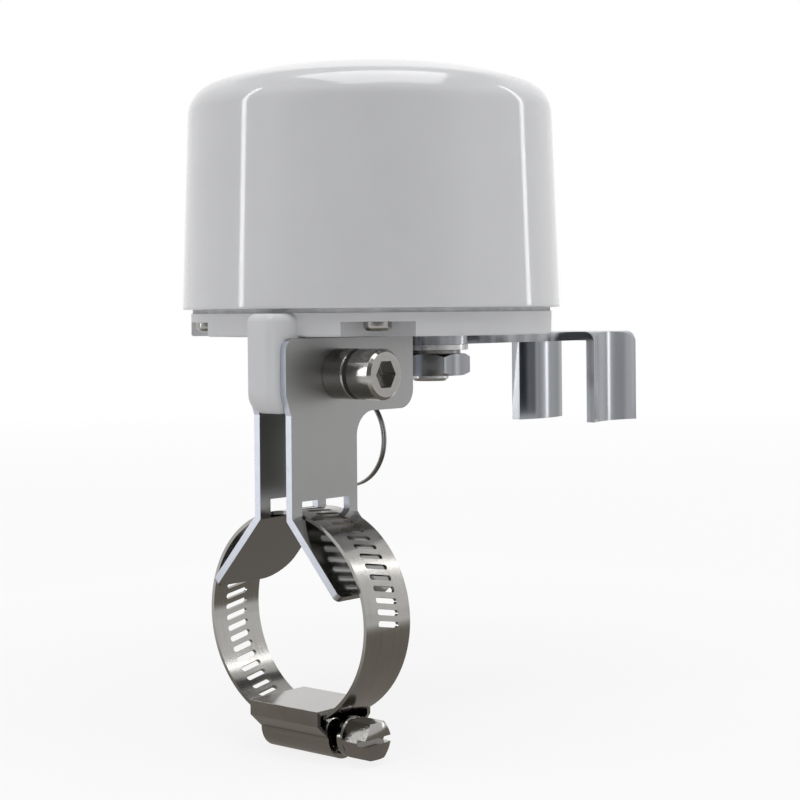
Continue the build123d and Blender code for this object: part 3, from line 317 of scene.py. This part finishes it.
def merged_copy(node):
    """A node's mesh as one closed skin, with flat faces in one piece."""
    mesh = frame["nodes"][node].data.copy()
    if "custom_normal" in mesh.attributes:
        mesh.attributes.remove(mesh.attributes["custom_normal"])
    skin = bmesh.new()
    skin.from_mesh(mesh)
    bmesh.ops.remove_doubles(skin, verts=skin.verts, dist=SKIN_MERGE)
    bmesh.ops.dissolve_limit(skin, angle_limit=FLAT_ANGLE, verts=skin.verts, edges=skin.edges)
    skin.to_mesh(mesh)
    skin.free()
    return mesh


def dress(node, width):
    """The visible copy of a node, softened."""
    mesh = merged_copy(node)
    mesh.name = node + "_skin"
    piece = show(mesh, node + "_skin", body_of[node], slot_of[node], node)
    return soften(piece, width)


EDGE_WIDTHS = {
    "base_housing": 0.25 * MM, "bolt_sleeve": 0.12 * MM, "bracket_bolt": 0.12 * MM,
    "bolt_ring": 0.05 * MM, "bolt_washer": 0.10 * MM, "bolt_nut": 0.15 * MM, "clamp_band": 0.0,
    "worm_housing": 0.25 * MM, "worm_screw": 0.0, "lever_arm": 0.15 * MM, "arm_washer": 0.10 * MM,
    "lock_washer": 0.10 * MM, "arm_nut": 0.18 * MM, "output_shaft": 0.0, "cover_screws": 0.08 * MM,
    "clutch_rod": 0.10 * MM, "rim_gasket": 0.0, "power_inlet": 0.10 * MM,
}
for node, width in EDGE_WIDTHS.items():
    dress(node, width)
print("dressed", len(EDGE_WIDTHS))

# %% [markdown]
# The bracket's two plates were punched from sheet. Their faces keep the grey of the rolled sheet, while
# the punched edges are bare bright metal, so the copy's faces are sorted by the way they look: a face
# that looks mostly along X is a cut edge, and all others keep the rolled finish.

# %% The bracket's plates and their punched edges
PLATE_EDGE = 0.10 * MM
ACROSS_LIMIT = 0.6


def punched_plate(node):
    """Dresses a plate, and gives its side faces, which look mostly along X, the bright cut finish."""
    piece = dress(node, PLATE_EDGE)
    mesh = piece.data
    mesh.materials.append(cut_edge.material)
    normals = np.empty(3 * len(mesh.polygons))
    mesh.polygons.foreach_get("normal", normals)
    across = np.abs(normals.reshape(-1, 3)[:, 0]) > ACROSS_LIMIT
    mesh.polygons.foreach_set("material_index", across.astype(np.int32))


for node in ("bracket_front", "bracket_rear"):
    punched_plate(node)

# %% [markdown]
# Step 3: the dome
#
# The cover is a turned shape: a side that leans in a little, so that it leaves its mould, and three
# arcs that meet without a kink at the shoulder, the brow and the crown. A mirror-like surface shows
# every flat facet, so it is worked out as a fine grid: the profile's points run up one side, and the
# turn runs round. Two holes for the light and the button are cut by moving the grid's nearest points
# onto each hole's circle.

# %% Surfaces from grids
def skin_from(points):
    """A mesh from a grid of points, rows by columns: each cell becomes a face, and each row closes."""
    rows, columns = points.shape[:2]
    index = np.arange(rows * columns).reshape(rows, columns)
    index = np.hstack([index, index[:, :1]])
    corners = (index[:-1, :-1], index[:-1, 1:], index[1:, 1:], index[1:, :-1])
    cells = np.stack([c.ravel() for c in corners], axis=1)
    mesh = bpy.data.meshes.new("skin")
    mesh.from_pydata(points.reshape(-1, 3), [], cells)
    return mesh


def close_skin(mesh):
    """Merges the points that fall together at a pole or a seam, and fills what is still open."""
    skin = bmesh.new()
    skin.from_mesh(mesh)
    bmesh.ops.remove_doubles(skin, verts=skin.verts, dist=MERGE_REACH)
    rims = [e for e in skin.edges if e.is_boundary]
    bmesh.ops.holes_fill(skin, edges=rims, sides=0)
    bmesh.ops.recalc_face_normals(skin, faces=skin.faces)
    skin.to_mesh(mesh)
    skin.free()
    return mesh


def turned(profile, centre, axis, columns):
    """A surface of revolution: (distance out, distance along) pairs, carried round an axis.

    point = centre + out * (cos t side + sin t front) + along * axis, with t from 0 to a full turn.
    """
    axis = np.array(axis, float) / np.linalg.norm(axis)
    side = np.cross(axis, (0.0, 0.0, 1.0) if abs(axis[2]) < 0.9 else (1.0, 0.0, 0.0))
    side /= np.linalg.norm(side)
    front = np.cross(axis, side)
    turn = np.linspace(0, FULL_TURN, columns, endpoint=False)
    ring = np.outer(np.cos(turn), side) + np.outer(np.sin(turn), front)
    out, along = np.array(profile, float).T
    return np.array(centre) + out[:, None, None] * ring[None] + along[:, None, None] * axis


def round_corner(centre, radius, start, end, steps):
    """Points on an arc, as (out, up) pairs; angles are measured from upright, in radians."""
    angle = np.linspace(start, end, steps)
    return [(centre[0] + radius * sin(a), centre[1] + radius * cos(a)) for a in angle]


# %% The dome's profile
low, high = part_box("dome_cover")
dome_axis = np.array([(low.x + high.x) / 2, (low.y + high.y) / 2, low.z])
dome_radius = (high.x - low.x) / 2
dome_height = high.z - low.z
DRAFT = 1.4 * MM
WALL = 2.6 * MM
RIM_ROUND = 0.25 * MM
CORNER_SHARE = 0.3
CROWN, BROW, SHOULDER = 4.2 * dome_radius, 1.5 * dome_radius, 0.17 * dome_radius
CROWN_REACH = 0.53 * dome_radius
SIDE_ROWS, DOME_COLUMNS = 100, 384


def crown_profile():
    """The shoulder, brow and crown arcs, each tangent to the next.

    They meet without a kink, since two centres lie the difference of their radii apart.
    """
    crown_angle = asin(CROWN_REACH / CROWN)
    reach = dome_radius - DRAFT - SHOULDER - (CROWN - BROW) * sin(crown_angle)
    brow_angle = asin(reach / (BROW - SHOULDER))
    crown = np.array((0.0, dome_height - CROWN))
    brow = crown + (CROWN - BROW) * np.array((sin(crown_angle), cos(crown_angle)))
    shoulder = brow + (BROW - SHOULDER) * np.array((sin(brow_angle), cos(brow_angle)))
    return (
        round_corner(shoulder, SHOULDER, pi / 2, brow_angle, 14)
        + round_corner(brow, BROW, brow_angle, crown_angle, 18)[1:]
        + round_corner(crown, CROWN, crown_angle, 0.0, 22)[1:]
    )


outer = crown_profile()
side_top = outer[0][1]
levels = np.linspace(RIM_ROUND, side_top, SIDE_ROWS)[:-1]
side = [(dome_radius - DRAFT * z / side_top, z) for z in levels]
rim = [
    (dome_radius - RIM_ROUND, 0.0),
    (dome_radius - RIM_ROUND * CORNER_SHARE, RIM_ROUND * CORNER_SHARE),
]
dome_points = turned(rim + side + outer, dome_axis, (0, 0, 1), DOME_COLUMNS)
print("dome grid", dome_points.shape, "side up to", round(side_top / MM, 1), "mm")


# %% The two holes in the dome's far side
def hole_line(node):
    """Where the middle of a node in the dome's wall lies: its angle round the dome and its height."""
    start, end = (np.array(corner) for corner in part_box(node))
    middle = (start + end) / 2
    return np.arctan2(middle[1] - dome_axis[1], middle[0] - dome_axis[0]), middle[2]


def cut_hole(skin, node, radius):
    """Takes away the faces inside a hole through the dome, and rounds its rim to the circle."""
    angle, level = hole_line(node)
    inward = Vector((cos(angle), sin(angle), 0))
    across = Vector((-sin(angle), cos(angle), 0))
    base = Vector((dome_axis[0], dome_axis[1], level))

    def offset(point):
        """How far a point is across and above the hole's line, and whether it is on that side."""
        away = point - base
        return away.dot(across), away.z, away.dot(inward) > 0

    inside = []
    for face in skin.faces:
        x, z, near = offset(face.calc_center_median())
        if near and x * x + z * z < radius * radius:
            inside.append(face)
    bmesh.ops.delete(skin, geom=inside, context="FACES")
    for vertex in skin.verts:
        x, z, near = offset(vertex.co)
        reach = (x * x + z * z) ** 0.5
        if near and vertex.is_boundary and reach < 2 * radius:
            move = radius / reach - 1
            vertex.co += across * (x * move) + Vector((0, 0, z * move))


LENS_RADIUS = 2.0 * MM
BUTTON_RADIUS = 3.4 * MM
LENS_GAP = 0.02 * MM
BUTTON_GAP = 0.2 * MM
dome_mesh = skin_from(dome_points)
skin = bmesh.new()
skin.from_mesh(dome_mesh)
bmesh.ops.remove_doubles(skin, verts=skin.verts, dist=MERGE_REACH)
cut_hole(skin, "status_lens", LENS_RADIUS + LENS_GAP)
cut_hole(skin, "pair_button", BUTTON_RADIUS + BUTTON_GAP)
bmesh.ops.recalc_face_normals(skin, faces=skin.faces)
skin.to_mesh(dome_mesh)
skin.free()
dome = show(dome_mesh, "dome_shell", "head", "white_gloss", "dome_cover")
dome_mesh.shade_smooth()
dome_mesh.set_sharp_from_angle(angle=radians(35))
wall = dome.modifiers.new("wall", "SOLIDIFY")
wall.thickness = WALL
wall.offset = -1
print("dome faces", len(dome_mesh.polygons))

# %% [markdown]
# Step 4: the light and the button
#
# Both are small round mouldings in the dome's wall. The light guide ends in a shallow lens that stands
# level with the dome, and the button has a dished top, so that a finger finds it.

# %% Lens and button
def outward(node):
    """The direction from the dome's axis through a node, and that node's level point on the axis."""
    angle, level = hole_line(node)
    return (cos(angle), sin(angle), 0.0), (dome_axis[0], dome_axis[1], level)


def reach_of(node):
    """The nearest and farthest distance of a node from the dome's axis."""
    way, start = outward(node)
    count = len(frame["nodes"][node].data.vertices)
    points = np.empty(3 * count)
    frame["nodes"][node].data.vertices.foreach_get("co", points)
    along = (points.reshape(-1, 3) - np.array(start)) @ np.array(way)
    return along.min(), along.max()


def capped(node, radius, edge, rise, slot):
    """A round plug whose face is a shallow bowl: height = rise * (1 - (out / radius) squared)."""
    way, start = outward(node)
    near, far = reach_of(node)
    face = far - max(rise, 0.0)
    out = np.linspace(radius - edge, 0, 12)
    profile = [(0.0, near), (radius, near), (radius, face - edge)]
    profile += [(radius - edge * CORNER_SHARE, face - edge * CORNER_SHARE)]
    profile += [(x, face + rise * (1 - (x / (radius - edge)) ** 2)) for x in out]
    mesh = close_skin(skin_from(turned(profile, start, way, 64)))
    piece = show(mesh, node + "_cap", body_of[node], slot, node)
    return soften(piece, 0.0, 35)


capped("status_lens", LENS_RADIUS, 0.25 * MM, 0.15 * MM, "clear_lens")
capped("pair_button", BUTTON_RADIUS, 0.35 * MM, -0.35 * MM, "button_grey")


# %% [markdown]
# Step 5: wound wire
#
# The pull ring is a split ring: flat wire wound twice, with a joggle where one coil crosses to the
# other's side. The clutch spring is round wire on a helix. Both are the same idea, a section carried
# along a path, with the section's own frame worked out from the path: one direction points away from
# the winding's middle, and the other along its axis.

# %% Wire along a winding
def wound(centre, across, up, axis, radius, shift, section, turns, start, steps):
    """A wire's skin, with a section at each step of its path.

    path = centre + radius * (cos t across + sin t up) + shift(t) * axis. The section's first number
    goes outwards and its second along the axis.
    """
    t = np.linspace(start, start + turns * FULL_TURN, steps)
    ring = np.outer(np.cos(t), across) + np.outer(np.sin(t), up)
    path = np.array(centre) + radius * ring + np.outer(shift(t), axis)
    out, along = np.array(section).T
    points = path[:, None] + out[:, None] * ring[:, None] + along[:, None] * np.array(axis)
    return close_skin(skin_from(points))


CORNER_STEPS = 4


def rounded_box(width, height, corner):
    """A section with round corners, as (out, along) pairs, anticlockwise."""
    points = []
    for quarter, (sx, sy) in enumerate(((1, 1), (-1, 1), (-1, -1), (1, -1))):
        x, y = sx * (width / 2 - corner), sy * (height / 2 - corner)
        angle = np.linspace(quarter, quarter + 1, CORNER_STEPS) * pi / 2
        points += [(x + corner * cos(a), y + corner * sin(a)) for a in angle]
    return points


def ease(x):
    """A smooth step from 0 to 1 as x goes from 0 to 1."""
    x = np.clip(x, 0, 1)
    return x * x * (3 - 2 * x)


low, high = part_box("pull_ring")
ring_centre = (np.array(low) + np.array(high)) / 2
RING_FLAT, RING_THICK, COIL_STEP = 0.5 * MM, 0.6 * MM, 0.35 * MM
RING_CORNER = 0.15 * MM
RING_TURNS, RING_STEPS = 1.985, 360
ring_radius = (high.y - low.y) / 2 - RING_FLAT / 2
CROSSING = radians(-60)
RING_START = CROSSING + radians(3)
JOGGLE = radians(28)


def ring_shift(t):
    """The wire's place along the ring's axis: one side, then the other past the crossing."""
    return COIL_STEP * (2 * ease((t - CROSSING - FULL_TURN + JOGGLE / 2) / JOGGLE) - 1)


WIRE_SMOOTH = 50
ring_section = rounded_box(RING_FLAT, RING_THICK, RING_CORNER)
ring_mesh = wound(ring_centre, (0, 1, 0), (0, 0, 1), (1, 0, 0), ring_radius, ring_shift, ring_section,
                  RING_TURNS, RING_START, RING_STEPS)
ring = show(ring_mesh, "split_ring", body_of["pull_ring"], "spring_steel", "pull_ring")
soften(ring, 0.0, WIRE_SMOOTH)

low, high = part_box("clutch_spring")
SPRING_WIRE = 0.6 * MM
SPRING_TURNS, SPRING_STEPS = 5, 300
spring_radius = (high.x - low.x - SPRING_WIRE) / 2
spring_length = high.z - low.z - SPRING_WIRE
spring_middle = ((low.x + high.x) / 2, (low.y + high.y) / 2, low.z + SPRING_WIRE / 2)


def spring_shift(t):
    """Height along the spring: it climbs evenly."""
    return spring_length * t / (SPRING_TURNS * FULL_TURN)


spring_section = [(SPRING_WIRE / 2 * cos(a), SPRING_WIRE / 2 * sin(a))
                  for a in np.linspace(0, FULL_TURN, 12, endpoint=False)]
spring_mesh = wound(spring_middle, (1, 0, 0), (0, 1, 0), (0, 0, 1), spring_radius, spring_shift,
                    spring_section, SPRING_TURNS, 0.0, SPRING_STEPS)
spring = show(spring_mesh, "lift_spring", body_of["clutch_spring"], "spring_steel", "clutch_spring")
soften(spring, 0.0, WIRE_SMOOTH)
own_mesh(spring)

# %% [markdown]
# Step 6: the rest of the nodes
#
# What is not replaced keeps its node, and takes the finish that its slot names.

# %% Finish the carried-over nodes
for name, carried in frame["nodes"].items():
    carried.data.materials.clear()
    carried.data.materials.append(finishes[slot_of[name]].material)

# %% [markdown]
# Step 7: floor, studio and camera
#
# The photograph has a white background and soft light from above. The world is a mild grey for the
# light that it gives, and white to the camera and in reflections. The floor does nearly the same, and
# still takes the object's shadow.

# %% Floor and world
BACKDROP_WHITE = (1.0, 1.0, 1.0, 1.0)
FLOOR_GAP = 0.2 * MM
FLOOR_REACH = 6.0
floor_level = cad_box[0].z - FLOOR_GAP
middle = (cad_box[0] + cad_box[1]) / 2
SQUARE = ((-1, -1), (1, -1), (1, 1), (-1, 1))
corners = [(x * FLOOR_REACH, y * FLOOR_REACH, floor_level) for x, y in SQUARE]
floor_mesh = bpy.data.meshes.new("floor")
floor_mesh.from_pydata(corners, [], [(0, 1, 2, 3)])
floor = bpy.data.objects.new("floor", floor_mesh)
bpy.context.scene.collection.objects.link(floor)


def math_node(tree, operation, a, b):
    """The outcome of a sum on two sockets or numbers."""
    made = tree.nodes.new("ShaderNodeMath")
    made.operation = operation
    for socket, value in zip(made.inputs, (a, b)):
        if isinstance(value, bpy.types.NodeSocket):
            tree.links.new(value, socket)
        else:
            socket.default_value = value
    return made.outputs[0]


def seen_directly(tree, to_camera=1.0, in_mirrors=1.0):
    """How much of the white shows: to the camera, in mirrors and glass, and 0 for what lights up."""
    path = tree.nodes.new("ShaderNodeLightPath")
    total = math_node(tree, "MULTIPLY", path.outputs["Is Camera Ray"], to_camera)
    for other in ("Is Glossy Ray", "Is Transmission Ray"):
        share = math_node(tree, "MULTIPLY", path.outputs[other], in_mirrors)
        total = math_node(tree, "MAXIMUM", total, share)
    return total


# Near the object the floor is a shade off white, so that its shadow sits in a soft pool.
NEAR_WHITE, NEAR_REACH, FAR_REACH = 0.84, 0.15, 1.2
MIRRORED_WHITE = 0.7
floor_look = Finish("floor", (0.80, 0.80, 0.80), roughness=0.6)
floor_look.tint(floor_look.noise(floor_look.place(), 300 * MM), 0.99, 1.01)
glow = floor_look.node("ShaderNodeEmission", Color=BACKDROP_WHITE, Strength=1.0)
catch = floor_look.node("ShaderNodeMixShader")
distance = floor_look.node("ShaderNodeVectorMath", Vector=floor_look.place())
distance.operation = "LENGTH"
whiteness = floor_look.spread(distance.outputs["Value"], NEAR_WHITE, 1.0, NEAR_REACH, FAR_REACH)
floor_look.tree.links.new(seen_directly(floor_look.tree, whiteness, MIRRORED_WHITE), catch.inputs[0])
floor_look.tree.links.new(floor_look.shader.outputs[0], catch.inputs[1])
floor_look.tree.links.new(glow.outputs[0], catch.inputs[2])
floor_look.tree.links.new(catch.outputs[0], floor_look.tree.nodes["Material Output"].inputs["Surface"])
floor_mesh.materials.append(floor_look.material)

SKY_COLOUR, SKY_STRENGTH = (0.97, 0.98, 1.0, 1.0), 0.42
world = bpy.data.worlds.new("studio")
bpy.context.scene.world = world
world.use_nodes = True
background = world.node_tree.nodes["Background"]
background.inputs["Color"].default_value = SKY_COLOUR
background.inputs["Strength"].default_value = SKY_STRENGTH
white = world.node_tree.nodes.new("ShaderNodeBackground")
white.inputs["Color"].default_value = BACKDROP_WHITE
white.inputs["Strength"].default_value = 1.0
blend = world.node_tree.nodes.new("ShaderNodeMixShader")
world.node_tree.links.new(seen_directly(world.node_tree), blend.inputs[0])
world.node_tree.links.new(background.outputs[0], blend.inputs[1])
world.node_tree.links.new(white.outputs[0], blend.inputs[2])
world.node_tree.links.new(blend.outputs[0], world.node_tree.nodes["World Output"].inputs["Surface"])


# %% [markdown]
# Polished steel needs something dark to mirror, or it turns white all over, so three cards that only
# mirrors see stand for the dim room: behind the camera, above the object and on the table below it. A
# large lamp overhead lightens the crown, and two tall ones at the sides draw the long soft streaks down
# the dome and the polished steel.

# %% Cards that only mirrors see
def card(name, place, across, up, dark, fade_from):
    """A sheet with a dark middle that turns white towards its edges, from a share of its reach on."""
    corners = [tuple(place + across * x + up * y) for x, y in SQUARE]
    mesh = bpy.data.meshes.new(name)
    mesh.from_pydata(corners, [], [(0, 1, 2, 3)])
    sheet = bpy.data.objects.new(name, mesh)
    bpy.context.scene.collection.objects.link(sheet)
    for kind in ("camera", "diffuse", "shadow", "transmission", "volume_scatter"):
        setattr(sheet, "visible_" + kind, False)
    look = Finish(name, dark, roughness=1.0)
    coordinates = look.node("ShaderNodeTexCoord").outputs["Object"]
    away = look.node("ShaderNodeVectorMath")
    away.operation = "DISTANCE"
    look.tree.links.new(coordinates, away.inputs[0])
    away.inputs[1].default_value = tuple(place)
    near = fade_from * across.length
    fade = look.spread(away.outputs["Value"], 0.0, 1.0, near, across.length)
    colour = look.node("ShaderNodeMixRGB", Fac=fade, Color1=(*dark, 1), Color2=BACKDROP_WHITE)
    glow = look.node("ShaderNodeEmission", Color=colour.outputs["Color"], Strength=1.0)
    look.tree.links.new(glow.outputs[0], look.tree.nodes["Material Output"].inputs["Surface"])
    mesh.materials.append(look.material)


EAST, NORTH, UP = Vector((1, 0, 0)), Vector((0, 1, 0)), Vector((0, 0, 1))
CAMERA_PLACE = Vector((-251.8, -237.4, 59.2)) * MM
ROOM_AWAY, ROOM_REACH = 1.2, 2.2
CEILING_AWAY, CEILING_REACH = 1.0, 1.2
TABLE_LIFT, TABLE_REACH = 0.1 * MM, 0.2
toward = (CAMERA_PLACE - middle).normalized()
aside = toward.cross(UP).normalized()
room_place = middle + toward * ROOM_AWAY
ceiling_place = middle + UP * CEILING_AWAY
table_place = Vector((middle.x, middle.y, floor_level + TABLE_LIFT))
ROOM_GREY, CEILING_GREY, TABLE_GREY = (0.22, 0.22, 0.22), (0.34, 0.34, 0.34), (0.28, 0.26, 0.23)
card("dark_room", room_place, aside * ROOM_REACH, UP * ROOM_REACH, ROOM_GREY, 0.25)
card("dark_ceiling", ceiling_place, EAST * CEILING_REACH, NORTH * CEILING_REACH, CEILING_GREY, 0.6)
card("dark_table", table_place, EAST * TABLE_REACH, NORTH * TABLE_REACH, TABLE_GREY, 0.5)


# %% Lamps
def lamp(name, place, size, power):
    """A rectangular soft lamp at a place relative to the object's middle, turned to face it."""
    light = bpy.data.lights.new(name, "AREA")
    light.shape = "RECTANGLE"
    light.size, light.size_y = size
    light.energy = power
    holder = bpy.data.objects.new(name, light)
    holder.location = middle + Vector(place)
    holder.rotation_euler = (-Vector(place)).to_track_quat("-Z", "Y").to_euler()
    bpy.context.scene.collection.objects.link(holder)


# Each lamp's place from the object's middle and its width and height, in metres, and its watts.
LAMPS = {
    "overhead": ((-0.10, -0.15, 0.75), (0.7, 0.7), 4.2),
    "left_tall": ((-0.65, 0.55, 0.20), (0.05, 0.9), 0.8),
    "right_tall": ((0.70, -0.45, 0.20), (0.06, 0.9), 0.6),
}
for name, (place, size, power) in LAMPS.items():
    lamp(name, place, size, power)

# %% [markdown]
# The camera is level and looks past the object's middle, so that upright edges stay upright, and the
# frame is shifted down to hold the clamp. It is rolled by the half degree that the photograph is.

# %% Camera
AIM_SHIFT = Vector((-2.0, 2.0, -4.0)) * MM
ROLL = radians(0.5)
LENS, FRAME_SHIFT = 79, -0.11
camera_data = bpy.data.cameras.new("camera")
camera_data.lens = LENS
camera = bpy.data.objects.new("camera", camera_data)
camera.location = CAMERA_PLACE
level_aim = middle + AIM_SHIFT - CAMERA_PLACE
level_aim.z = 0.0
camera.rotation_euler = level_aim.to_track_quat("-Z", "Y").to_euler()
camera.rotation_euler.rotate_axis("Z", -ROLL)
camera_data.shift_y = FRAME_SHIFT
bpy.context.scene.collection.objects.link(camera)
bpy.context.scene.camera = camera
bpy.context.scene.view_settings.view_transform = "Standard"
